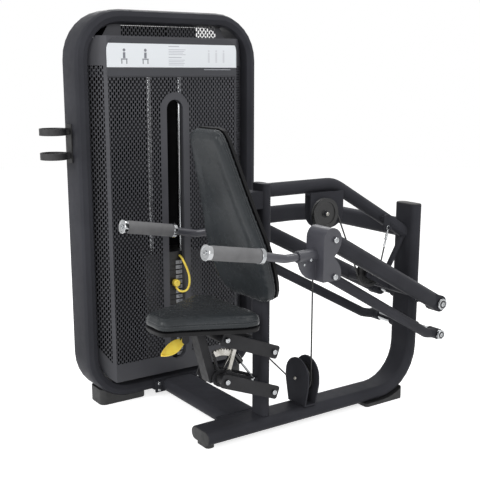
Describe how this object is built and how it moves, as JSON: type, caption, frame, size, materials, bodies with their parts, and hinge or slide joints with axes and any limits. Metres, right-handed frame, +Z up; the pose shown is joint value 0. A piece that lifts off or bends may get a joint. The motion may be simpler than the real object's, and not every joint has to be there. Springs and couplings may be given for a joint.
{
  "type": "seated dip machine",
  "caption": "Seated dip machine with a weight stack tower, a low side frame, levelled press arms with turning handles, and a height-adjustable seat with a backrest.",
  "frame": {"origin": "on the floor, under the centre of the bounding box of the whole machine", "axes": "+Z up, -X the way the user faces, +Y from the seat towards the weight stack tower"},
  "size_m": [1.297, 0.982, 1.5],
  "materials": {
    "frame": "satin powder coat",
    "sheet": "satin",
    "foot": "matte",
    "chrome": "polished",
    "iron": "satin",
    "pulley": "satin",
    "grip": "matte",
    "zinc": "zinc plated",
    "strut": "gloss",
    "lever": "satin",
    "cable": "gloss",
    "yellow": "gloss",
    "vinyl": "semi-matte upholstery vinyl",
    "board": "matte",
    "placard": "satin"
  },
  "bodies": {
    "frame": {"tower_hoop": "frame", "tower_foot_left": "foot", "tower_foot_right": "foot", "side_beam": "frame", "rear_foot": "foot", "front_foot": "foot", "crossbeam": "frame", "top_tube": "frame", "tie_tube": "frame", "seat_post": "frame", "pulley_hanger": "frame", "lower_pulley_bracket": "frame", "front_shroud": "sheet", "rear_shroud": "sheet", "placard": "placard", "stack_base": "iron", "guide_rod_left": "chrome", "guide_rod_right": "chrome", "top_crossmember": "iron", "weight_plates_rest": "iron", "bottle_holder": "frame", "upper_axle": "chrome", "lower_axle": "chrome", "back_pad": "vinyl", "back_board": "board", "main_cable": "cable", "stack_cable": "cable", "arm_cable": "cable", "cable_anchor": "zinc"},
    "press": {"press_arm": "frame"},
    "lower_arm_l": {"lower_arm_left": "frame"},
    "lower_arm_r": {"lower_arm_right": "frame"},
    "carrier_l": {"carrier_left": "frame"},
    "carrier_r": {"carrier_right": "frame"},
    "grip_bar_l": {"handle_left": "chrome", "grip_left": "grip"},
    "grip_bar_r": {"handle_right": "chrome", "grip_right": "grip"},
    "pulley_upper": {"upper_pulley": "pulley"},
    "pulley_lower": {"lower_pulley": "pulley"},
    "pulley_moving": {"moving_pulley": "pulley"},
    "pulley_tower": {"tower_pulley": "pulley"},
    "pulley_top_inner": {"top_pulley_inner": "pulley"},
    "pulley_top_outer": {"top_pulley_outer": "pulley"},
    "stack": {"head_plate": "iron", "weight_plate_1": "iron", "weight_plate_2": "iron", "weight_plate_3": "iron", "weight_plate_4": "iron", "weight_plate_5": "iron", "pin_lanyard": "yellow"},
    "pin": {"selector_pin": "yellow"},
    "seat_upper": {"upper_link": "frame"},
    "seat_lower": {"lower_link": "frame"},
    "seat": {"seat_carriage": "frame", "seat_pad": "vinyl"},
    "pawl": {"latch_pawl": "zinc"},
    "lever": {"seat_lever": "lever"},
    "strut_rod": {"gas_rod": "zinc"},
    "strut_body": {"gas_cylinder": "strut"}
  },
  "joints": [
    {"name": "arm_press", "type": "hinge", "parent": "frame", "child": "press", "pos_m": [0.617, -0.17, 0.409], "axis": [0, -1, 0], "range_deg": [0, 30], "deforming": ["arm_cable"]},
    {"name": "lower_arm_left_swing", "type": "hinge", "parent": "frame", "child": "lower_arm_l", "pos_m": [0.617, -0.34, 0.287], "axis": [0, -1, 0], "range_deg": [0, 30]},
    {"name": "lower_arm_right_swing", "type": "hinge", "parent": "frame", "child": "lower_arm_r", "pos_m": [0.617, 0, 0.287], "axis": [0, -1, 0], "range_deg": [0, 30]},
    {"name": "carrier_left_level", "type": "hinge", "parent": "press", "child": "carrier_l", "pos_m": [-0.029, -0.44, 0.748], "axis": [0, -1, 0], "range_deg": [-30, 0]},
    {"name": "carrier_right_level", "type": "hinge", "parent": "press", "child": "carrier_r", "pos_m": [-0.029, 0.1, 0.748], "axis": [0, -1, 0], "range_deg": [-30, 0]},
    {"name": "handle_left_turn", "type": "hinge", "parent": "carrier_l", "child": "grip_bar_l", "pos_m": [-0.12, -0.44, 0.698], "axis": [1, 0, 0], "range_deg": [0, 180]},
    {"name": "handle_right_turn", "type": "hinge", "parent": "carrier_r", "child": "grip_bar_r", "pos_m": [-0.12, 0.1, 0.698], "axis": [1, 0, 0], "range_deg": [-180, 0]},
    {"name": "stack_lift", "type": "slide", "parent": "frame", "child": "stack", "axis": [0, 0, 1], "range_m": [0, 0.263], "deforming": ["stack_cable"]},
    {"name": "pin_pull", "type": "slide", "parent": "stack", "child": "pin", "axis": [0, -1, 0], "range_m": [0, 0.068]},
    {"name": "upper_pulley_spin", "type": "hinge", "parent": "frame", "child": "pulley_upper", "pos_m": [0.148, -0.22, 0.783], "axis": [0, 1, 0], "range_deg": [0, 295.2]},
    {"name": "lower_pulley_spin", "type": "hinge", "parent": "frame", "child": "pulley_lower", "pos_m": [0.097, -0.169, 0.165], "axis": [1, 0, 0], "range_deg": [-295.2, 0]},
    {"name": "moving_pulley_spin", "type": "hinge", "parent": "press", "child": "pulley_moving", "pos_m": [0.3691, -0.22, 0.5391], "axis": [0, 1, 0], "range_deg": [-157, 0]},
    {"name": "tower_pulley_spin", "type": "hinge", "parent": "frame", "child": "pulley_tower", "pos_m": [0.097, 0.381, 0.3215], "axis": [1, 0, 0], "range_deg": [-429.6, 0]},
    {"name": "top_pulley_outer_spin", "type": "hinge", "parent": "frame", "child": "pulley_top_outer", "pos_m": [0.062, 0.416, 1.34], "axis": [0, 1, 0], "range_deg": [-429.6, 0]},
    {"name": "top_pulley_inner_spin", "type": "hinge", "parent": "frame", "child": "pulley_top_inner", "pos_m": [-0.109, 0.416, 1.34], "axis": [0, 1, 0], "range_deg": [-429.6, 0]},
    {"name": "seat_lift", "type": "hinge", "parent": "frame", "child": "seat_upper", "pos_m": [-0.095, -0.17, 0.319], "axis": [0, -1, 0], "range_deg": [0, 30]},
    {"name": "seat_lower_swing", "type": "hinge", "parent": "frame", "child": "seat_lower", "pos_m": [-0.095, -0.17, 0.17], "axis": [0, -1, 0], "range_deg": [0, 30]},
    {"name": "seat_level", "type": "hinge", "parent": "seat_upper", "child": "seat", "pos_m": [-0.293, -0.17, 0.397], "axis": [0, -1, 0], "range_deg": [-30, 0]},
    {"name": "lever_pull", "type": "hinge", "parent": "seat", "child": "lever", "pos_m": [-0.412, -0.17, 0.398], "axis": [0, 1, 0], "range_deg": [0, 10], "stiffness_Nm_per_rad": 2, "springref_deg": -11.46},
    {"name": "pawl_lift", "type": "hinge", "parent": "seat", "child": "pawl", "pos_m": [-0.262, -0.205, 0.264], "axis": [0, 1, 0], "range_deg": [0, 5]},
    {"name": "strut_rod_swing", "type": "hinge", "parent": "frame", "child": "strut_rod", "pos_m": [-0.124, -0.17, 0.2], "axis": [0, -1, 0], "range_deg": [0, 27]},
    {"name": "strut_body_swing", "type": "hinge", "parent": "seat", "child": "strut_body", "pos_m": [-0.262, -0.17, 0.38], "axis": [0, -1, 0], "range_deg": [0, 27]}
  ],
  "couplings": [
    {"joint": "lower_arm_left_swing", "follows": "arm_press", "ratio": 1},
    {"joint": "lower_arm_right_swing", "follows": "arm_press", "ratio": 1},
    {"joint": "carrier_left_level", "follows": "arm_press", "ratio": -1},
    {"joint": "carrier_right_level", "follows": "arm_press", "ratio": -1},
    {"joint": "stack_lift", "follows": "arm_press", "m_per_rad": 0.5},
    {"joint": "upper_pulley_spin", "follows": "arm_press", "ratio": 9.8039},
    {"joint": "lower_pulley_spin", "follows": "arm_press", "ratio": -9.8039},
    {"joint": "moving_pulley_spin", "follows": "arm_press", "ratio": -5.2},
    {"joint": "tower_pulley_spin", "follows": "arm_press", "ratio": -14.286},
    {"joint": "top_pulley_outer_spin", "follows": "arm_press", "ratio": -14.286},
    {"joint": "top_pulley_inner_spin", "follows": "arm_press", "ratio": -14.286},
    {"joint": "seat_lower_swing", "follows": "seat_lift", "ratio": 1},
    {"joint": "seat_level", "follows": "seat_lift", "ratio": -1},
    {"joint": "strut_rod_swing", "follows": "seat_lift", "ratio": 0.893},
    {"joint": "strut_body_swing", "follows": "seat_lift", "ratio": 0.893},
    {"joint": "pawl_lift", "follows": "lever_pull", "ratio": 0.5}
  ]
}
